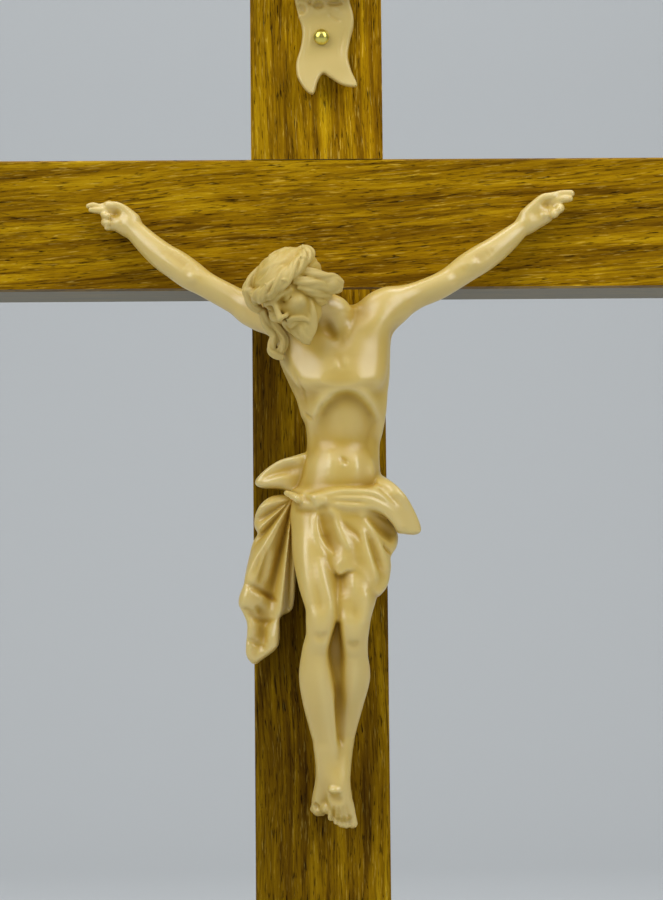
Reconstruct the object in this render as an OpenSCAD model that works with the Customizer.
// Free-standing altar cross: a halved timber cross tenoned into a two-step base, with a cast
// figure screwed on from behind and a cast scroll nailed to the head of the upright.
// Millimetres. +Z is up, the front faces -Y, and the origin is under the middle of the base.

/* [Cross] */
// Width of the upright and the crossbeam, seen from the front
beam_w = 25; // [24:0.5:27]
// Thickness of both timbers, front to back
beam_t = 14; // [13:0.5:16]
// Length of the crossbeam
span = 150; // [136:2:160]
// Upright above the crossbeam's top edge
head_arm = 62.5; // [50:0.5:70]
// Upright between the crossbeam's bottom edge and the base
foot_arm = 150; // [130:0.5:170]

/* [Base] */
// Width of the lower plate
plate_w = 100; // [96:2:130]
// Depth of the lower plate
plate_d = 70; // [66:2:90]
// Height of the lower plate
plate_h = 10; // [9:0.5:14]
// Width of the upper block
block_w = 64; // [60:2:76]
// Depth of the upper block
block_d = 44; // [40:2:50]
// Height of the upper block, which is also the tenon's length
block_h = 16; // [14:0.5:20]
// Bevel along the top edges of both base timbers
bevel = 2.5; // [1:0.5:3]
// Diameter of each felt foot
felt_d = 14; // [10:1:16]
// Height of each felt foot
felt_h = 1.5; // [1:0.25:3]

/* [Figure and scroll] */
// Size of the cast figure against its usual 120 mm, hand to toe
figure_scale = 1; // [0.95:0.01:1.02]
// Thickness of the scroll's sheet
scroll_t = 1.6; // [1.4:0.1:2]
// Diameter of the nail's round head
nail_head_d = 3; // [2.6:0.1:3.4]

/* [Hidden] */
screws = 2; // each of the two screw sets is a pair
feet = 4;

e = 0.01; // overrun that keeps cutting faces clear of the faces they cut
oak = "peru";
oak_dark = "sienna";
resin = "wheat";

// Heights of the stacked parts
plate_z = felt_h;
block_z = plate_z + plate_h;
shoulder_z = block_z + block_h;
cross_z = shoulder_z + foot_arm + beam_w / 2;
top_z = cross_z + beam_w / 2 + head_arm;

// Mortise and tenon between the upright and the base block
tenon_w = 18;
tenon_t = 9;

// Places of the fasteners, from the middle of the crossing or of the base
figure_screw_x = 3.5;
figure_screw_zs = [-25, -54];
block_screw_x = 22;
nail_x = 1;
nail_z = 35.5;
nail_shank_d = 1.2;
nail_l = 11;
scroll_seat = 0.4; // gap between the wood and the back of the scroll at the nail
felt_inset = 12;

// Wood screws: [shank diameter, head diameter, length]
figure_screw = [3, 6, 20];
block_screw = [3.5, 7, 20];
tenon_screw_size = [4, 8, 34];

// ---------------------------------------------------------------- timber

// A bar with its four long arrises taken off by a small 45 degree cut, lying along Z
module eased_bar(w, t, l, ease = 0.4) {
    linear_extrude(l) polygon([
        [-w / 2 + ease, -t / 2], [w / 2 - ease, -t / 2], [w / 2, -t / 2 + ease], [w / 2, t / 2 - ease],
        [w / 2 - ease, t / 2], [-w / 2 + ease, t / 2], [-w / 2, t / 2 - ease], [-w / 2, -t / 2 + ease]
    ]);
}

// A block whose four top edges are bevelled
module bevelled_block(w, d, h, cut) {
    reach = cut * sqrt(2);
    difference() {
        translate([-w / 2, -d / 2, 0]) cube([w, d, h]);
        for (side = [-1, 1]) {
            translate([side * w / 2, 0, h]) rotate([0, 45, 0]) cube([reach, d + 2, reach], center = true);
            translate([0, side * d / 2, h]) rotate([45, 0, 0]) cube([w + 2, reach, reach], center = true);
        }
    }
}

// Clearance for a screw driven along +Z with its head flush at z = 0
module screw_hole(size) {
    head_h = (size[1] - size[0]) / 2;
    translate([0, 0, -e]) cylinder(d1 = size[1] + 0.1 + 2 * e, d2 = size[0] + 0.1, h = head_h + e, $fn = 48);
    translate([0, 0, -e]) cylinder(d = size[0] + 0.1, h = size[2] + 0.6, $fn = 48);
}

// Countersunk wood screw along +Z, head flush at z = 0, with ring threads and a cross recess
module wood_screw(size) {
    shank_r = size[0] / 2;
    head_r = size[1] / 2;
    head_h = head_r - shank_r;
    pitch = shank_r * 0.7;
    thread_from = size[2] * 0.4;
    tip = size[0] * 1.1;
    turns = floor((size[2] - tip - thread_from) / pitch);
    recess = head_r * 0.42;
    difference() {
        rotate_extrude($fn = 48) polygon(concat(
            [[0, 0], [head_r, 0], [shank_r * 0.72, head_h], [shank_r * 0.72, thread_from]],
            [for (i = [0:turns - 1], s = [0, 1])
                [s == 0 ? shank_r * 0.72 : shank_r, thread_from + (i + 0.25 + s * 0.5) * pitch]],
            [[shank_r * 0.72, size[2] - tip], [0.15, size[2]], [0, size[2]]]
        ));
        for (turn = [0, 90])
            rotate(turn) translate([-recess, -recess / 5, -e]) cube([2 * recess, recess * 0.4, head_h * 0.8]);
    }
}

// Places a child at screw i of those that hold the figure, pointing forward from the wood's back
module at_figure_screw(i) {
    translate([figure_screw_x, beam_t / 2, cross_z + figure_screw_zs[i - 1]]) rotate([90, 0, 0]) children();
}

// Places a child at screw i of those between the base plate and the base block, pointing up
module at_block_screw(i) {
    translate([(2 * i - 3) * block_screw_x, 0, plate_z]) children();
}

module upright() {
    color(oak) difference() {
        union() {
            translate([0, 0, shoulder_z]) eased_bar(beam_w, beam_t, top_z - shoulder_z);
            translate([-tenon_w / 2, -tenon_t / 2, block_z]) cube([tenon_w, tenon_t, block_h + e]);
        }
        translate([-beam_w, -beam_t, cross_z - beam_w / 2]) cube([2 * beam_w, beam_t, beam_w]);
        for (i = [1:screws]) at_figure_screw(i) screw_hole(figure_screw);
        translate([0, 0, plate_z]) screw_hole(tenon_screw_size);
        translate([nail_x, -beam_t / 2 - e, cross_z + nail_z])
            rotate([-90, 0, 0]) cylinder(d = nail_shank_d + 0.04, h = nail_l, $fn = 32);
    }
}

module crossbeam() {
    color(oak) difference() {
        translate([-span / 2, 0, cross_z]) rotate([90, 0, 90]) eased_bar(beam_t, beam_w, span);
        translate([-beam_w / 2, 0, cross_z - beam_w]) cube([beam_w, beam_t, 2 * beam_w]);
    }
}

module base_block() {
    color(oak_dark) difference() {
        translate([0, 0, block_z]) bevelled_block(block_w, block_d, block_h, bevel);
        translate([-tenon_w / 2, -tenon_t / 2, block_z - 1]) cube([tenon_w, tenon_t, block_h + 2]);
        for (i = [1:screws]) at_block_screw(i) screw_hole(block_screw);
    }
}

module base_plate() {
    color(oak_dark) difference() {
        translate([0, 0, plate_z]) bevelled_block(plate_w, plate_d, plate_h, bevel);
        for (i = [1:screws]) at_block_screw(i) screw_hole(block_screw);
        translate([0, 0, plate_z]) screw_hole(tenon_screw_size);
    }
}

// Foot i of the four, counted round the corners
module felt_foot(i) {
    side = i <= 2 ? -1 : 1;
    end = i == 1 || i == 4 ? -1 : 1;
    color("darkgreen") translate([side * (plate_w / 2 - felt_inset), end * (plate_d / 2 - felt_inset), 0])
        cylinder(d = felt_d, h = felt_h, $fn = 48);
}

module figure_screw_at(i) { color("gold") at_figure_screw(i) wood_screw(figure_screw); }
module block_screw_at(i) { color("silver") at_block_screw(i) wood_screw(block_screw); }
module tenon_screw() { color("silver") translate([0, 0, plate_z]) wood_screw(tenon_screw_size); }

// ---------------------------------------------------------------- scroll and nail

// A smooth closed outline through a few points, by a Catmull-Rom curve
function spline(p, q, r, s, t) =
    0.5 * (2 * q + (r - p) * t + (2 * p - 5 * q + 4 * r - s) * t * t + (3 * q - p - 3 * r + s) * t * t * t);
function smooth_loop(points, steps = 5) =
    [for (i = [0:len(points) - 1], k = [0:steps - 1]) let (n = len(points))
        spline(points[(i + n - 1) % n], points[i], points[(i + 1) % n], points[(i + 2) % n], k / steps)];

// Half of the scroll's outline as [x, z] from the middle of the crossing: swallow-tail foot, waisted body
scroll_outline = [
    [1.4, 28.5], [0.2, 26.6], [-0.7, 24], [-2.6, 26], [-3.8, 29.5], [-2.8, 35.5], [-3.9, 41], [-3.6, 46.5],
    [1.5, 47.2], [6.6, 46.8], [7.1, 39.5], [5.8, 33], [6.3, 29], [7.6, 25.9], [4.9, 26.3]
];
// Back of the sheet seen from the side, as [distance from the wood, z]: flat at the nail, lifting at both ends
scroll_back = [[2.6, 23], [1.6, 27], [0.6, 32], [scroll_seat, 35.5], [0.9, 40], [2.8, 43.5]];
scroll_roll_r = 2.2;

module scroll_sheet_profile() {
    n = len(scroll_back);
    polygon(concat(
        [for (p = scroll_back) [-p[0], p[1]]],
        [for (i = [n - 1:-1:0]) [-scroll_back[i][0] - scroll_t, scroll_back[i][1]]]
    ));
}

module scroll() {
    color(resin) translate([0, -beam_t / 2, cross_z]) difference() {
        intersection() {
            rotate([90, 0, 0]) linear_extrude(20) polygon(smooth_loop(scroll_outline));
            union() {
                translate([-20, 0, 0]) rotate([90, 0, 90]) linear_extrude(40) scroll_sheet_profile();
                translate([-20, -2.8 - scroll_roll_r, 44.4]) rotate([0, 90, 0]) cylinder(r = scroll_roll_r, h = 40, $fn = 32);
            }
        }
        translate([nail_x, 0, nail_z]) rotate([90, 0, 0]) cylinder(d = nail_shank_d + 0.1, h = 10, $fn = 32);
    }
}

module scroll_nail() {
    head_r = nail_head_d / 2;
    cap_r = head_r * 1.12; // radius of the dome that the head is cut from
    seat = scroll_seat + scroll_t + 0.12;
    color("gold") translate([nail_x, -beam_t / 2 - seat, cross_z + nail_z]) rotate([90, 0, 0]) union() {
        intersection() {
            translate([0, 0, head_r * 0.9 - cap_r]) sphere(r = cap_r, $fn = 48);
            cylinder(r = head_r, h = head_r, $fn = 48);
        }
        translate([0, 0, 1 - nail_l]) cylinder(d = nail_shank_d, h = nail_l - 1 + e, $fn = 32);
        translate([0, 0, -nail_l]) cylinder(d1 = 0.3, d2 = nail_shank_d, h = 1, $fn = 32);
    }
}

// ---------------------------------------------------------------- figure

// Every place on the figure is [x, d, z, r]: across, out from the wood's front face, up from the middle
// of the crossing, and the radius there. A path of such places is a limb or a fold of cloth.
module ball(p, n = 16) { translate([p[0], -p[1], p[2]]) sphere(r = p[3], $fn = n); }
module limb(path, n = 16) {
    for (i = [0:len(path) - 2]) hull() {
        ball(path[i], n);
        ball(path[i + 1], n);
    }
}
// A body section: a ball at p stretched to the half width, half depth and half height in s
module section(p, s) { translate([p[0], -p[1], p[2]]) scale(s) sphere(r = 1, $fn = 28); }
module loft(sections) {
    for (i = [0:len(sections) - 2]) hull() {
        section(sections[i][0], sections[i][1]);
        section(sections[i + 1][0], sections[i + 1][1]);
    }
}

module torso() {
    loft([
        [[3.6, 8.2, -22], [9, 8.2, 4.5]], [[3.6, 8.4, -29], [9, 8.6, 5.5]],
        [[4.2, 8, -36], [8.2, 8.2, 5]], [[4.3, 7.4, -44], [6.6, 6, 4]], [[3.4, 7.2, -53], [8.4, 7.4, 5]]
    ]);
}
module arms() {
    limb([[-3, 8, -21.5, 4.4], [-8, 7.6, -18.8, 3.4], [-14, 6.2, -16.2, 2.8], [-20, 5, -12.7, 2.4],
        [-24.5, 4.4, -10, 2.8], [-29, 3.6, -6.6, 2.5], [-34.8, 2.6, -1.3, 2], [-37.6, 2.2, 0.8, 2.4]]);
    limb([[10, 8, -18.5, 4.4], [13, 7.4, -16, 3.4], [20, 5.6, -13.8, 2.6], [25, 4.6, -11.3, 2.3],
        [28.5, 4.2, -8.9, 2.8], [32.5, 3.6, -6.5, 2.5], [38.3, 2.5, -1.8, 1.8], [42, 2.2, 1.8, 2.3]]);
}
// Fingers of one hand: two stretched out and two curled over the palm; side is 1 on the right of the front
module fingers(palm, side) {
    for (f = [[0.6, 1.9, 1.1], [0.9, 0.9, 1]])
        limb([[palm[0], 1.9, palm[1], 1.4], [palm[0] + side * 2.6, 2, palm[1] + f[1], f[2]],
            [palm[0] + side * (6.2 - f[0]), 2.2, palm[1] + f[1] + 1, 0.7]], 12);
    for (f = [[2.8, -0.3], [1.9, -1.4]])
        limb([[palm[0], 1.9, palm[1], 1.4], [palm[0] + side * f[0], 2.2, palm[1] + f[1], 1.1],
            [palm[0] + side * (f[0] - 1.1), 3.7, palm[1] + f[1] + 0.8, 0.8]], 12);
}
module legs() {
    limb([[-0.8, 8.5, -56, 5], [-0.6, 12, -66, 4.5], [-0.2, 14.4, -76.8, 3.3], [-1.1, 11, -84.5, 3.3],
        [0.4, 8, -95, 2.4], [1.2, 6.4, -103, 2.1]]);
    limb([[7.4, 8.5, -57, 5], [6, 11.5, -67, 4.4], [5.3, 13.4, -78.5, 3.1], [5.6, 9.8, -86, 3.1],
        [4.2, 6, -97, 2], [3.2, 3.6, -104, 1.9]]);
}
module feet() {
    limb([[1.2, 6.4, -103, 2.1], [2, 6.6, -106, 2.1], [3.6, 5.4, -109.3, 2]]);
    for (t = [[5.7, -111.8, 1], [4.4, -111.9, 0.8], [3.2, -111.3, 0.8], [2.1, -110.7, 0.7]])
        limb([[3.6, 5.4, -109.3, 1.4], [t[0], 4.6, t[1], t[2]]], 12);
    limb([[3.2, 3.4, -104, 1.9], [0.8, 2.2, -107, 2.2], [-0.8, 2, -109.3, 1.3]]);
}
module head() {
    limb([[3, 9.5, -21.5, 3.4], [-0.5, 13, -17.5, 3.3]]);
    loft([[[-5.4, 15.6, -14], [6, 6.4, 6.2]], [[-4.2, 18.4, -18.6], [4.6, 4.6, 4.2]]]);
    loft([[[-4.2, 18.4, -18.6], [4.6, 4.6, 4.2]], [[-2.6, 19, -23.4], [2, 2, 2.4]]]);
    for (lock = [
        [[-11.2, 13.5, -15.5, 2.2], [-10.4, 11.5, -20, 1.9], [-8, 12, -25.6, 2.1]],
        [[-2.5, 13.5, -8.6, 1.6], [1, 13, -12.5, 2.2], [2.4, 13.6, -14.2, 2], [0.2, 14.2, -16.2, 2]],
        [[-12, 15, -15.4, 1.6], [-8.6, 20.4, -14.6, 1.6], [-3.6, 21, -14.6, 1.6], [0.8, 17.4, -14.4, 1.6]]
    ]) limb(lock);
}
module loincloth() {
    loft([[[-3, 7, -52.4], [4, 6.8, 2.4]], [[3.5, 8, -52.8], [7, 7.6, 2.8]], [[9.6, 7, -53.4], [4, 6.4, 3]]]);
    for (fold = [
        [[-2, 5, -48.5, 3.6], [-8.6, 4.2, -48.8, 2], [-10.2, 4, -49.2, 1.6]],
        [[-5, 7, -54.2, 2.4], [-10.2, 5, -56.6, 1.7]],
        [[-6, 7, -55.4, 2.2], [-10, 5.4, -62, 3], [-10.6, 5, -69, 3.8], [-10, 4.8, -72, 3.4],
            [-10.8, 4.6, -77, 2.8], [-11.4, 4.4, -80.4, 2.4]],
        [[-5.4, 6.6, -56, 2], [-6.6, 5.4, -66, 2.4], [-7, 5, -71.4, 2.2]],
        [[8.5, 8.4, -53.4, 4], [13.2, 6.4, -55, 2.8], [16.2, 5.6, -57.6, 1.7]],
        [[8, 9, -56, 4], [11.6, 7, -62, 2.4], [10.6, 7.6, -67.6, 1.9]],
        [[3.6, 12, -56, 3.6], [6.4, 13, -62, 3.4], [8.8, 10, -68, 2.4]],
        [[0.2, 14.4, -54, 1.4], [1.8, 15.6, -59, 1.4], [3.8, 16.2, -64.4, 1.3]]
    ]) limb(fold);
}

module figure() {
    color(resin) translate([0, -beam_t / 2, cross_z]) difference() {
        scale(figure_scale) intersection() {
            union() {
                torso();
                arms();
                fingers([-37.6, 0.8], -1);
                fingers([42, 1.8], 1);
                legs();
                feet();
                head();
                loincloth();
            }
            translate([-60, -40, -130]) cube([120, 40, 150]);
        }
        for (z = figure_screw_zs)
            translate([figure_screw_x, e, z]) rotate([90, 0, 0])
                cylinder(d = figure_screw[0] + 0.1, h = figure_screw[2] - beam_t + 0.6, $fn = 24);
    }
}

// ---------------------------------------------------------------- nodes

upright();
crossbeam();
base_block();
base_plate();
figure();
scroll();
scroll_nail();
tenon_screw();
for (i = [1:screws]) {
    figure_screw_at(i);
    block_screw_at(i);
}
for (i = [1:feet])
    felt_foot(i);
